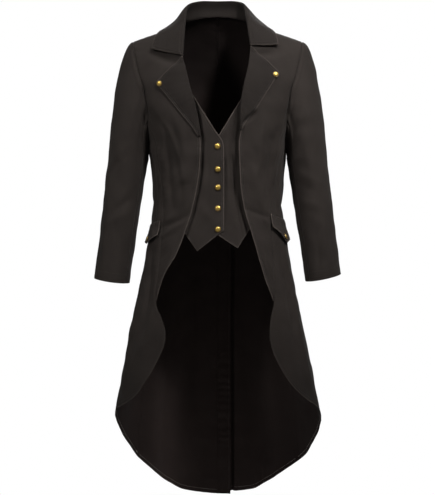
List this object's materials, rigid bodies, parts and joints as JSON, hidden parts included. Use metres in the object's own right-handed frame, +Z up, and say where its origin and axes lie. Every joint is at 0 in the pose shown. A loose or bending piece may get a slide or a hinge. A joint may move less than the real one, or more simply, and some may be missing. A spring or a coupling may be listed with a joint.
{
  "type": "tailcoat",
  "caption": "Black cotton twill tailcoat with a turned-down collar, pinned-back lapels, a sewn-in pointed waistcoat front, brass buttons and a long rounded tail open at the back vent.",
  "frame": {"origin": "midway between the tips of the shoulders, at their height, where the wearer's shoulders hold the coat up", "axes": "+Z up, +Y towards the wearer's back, so the front faces -Y and the wearer's left is at +X"},
  "size_m": [0.6378, 0.3273, 1.3224],
  "materials": {
    "black_twill": "matt black cotton twill with a faint diagonal rib",
    "aged_brass": "aged brass, domed and half polished, with a darker rim"
  },
  "bodies": {
    "root": {"front_right": "black_twill", "front_left": "black_twill", "side_right": "black_twill", "side_left": "black_twill", "back_right": "black_twill", "back_left": "black_twill", "vent_underlap": "black_twill", "collar": "black_twill", "lapel_right": "black_twill", "lapel_left": "black_twill", "sleeve_top_right": "black_twill", "sleeve_top_left": "black_twill", "sleeve_under_right": "black_twill", "sleeve_under_left": "black_twill", "vest_right": "black_twill", "vest_left": "black_twill", "flap_right": "black_twill", "flap_left": "black_twill", "lapel_button_right": "aged_brass", "lapel_button_left": "aged_brass", "flap_button_right": "aged_brass", "flap_button_left": "aged_brass", "vest_button_1": "aged_brass", "vest_button_2": "aged_brass", "vest_button_3": "aged_brass", "vest_button_4": "aged_brass", "vest_button_5": "aged_brass"}
  },
  "joints": []
}
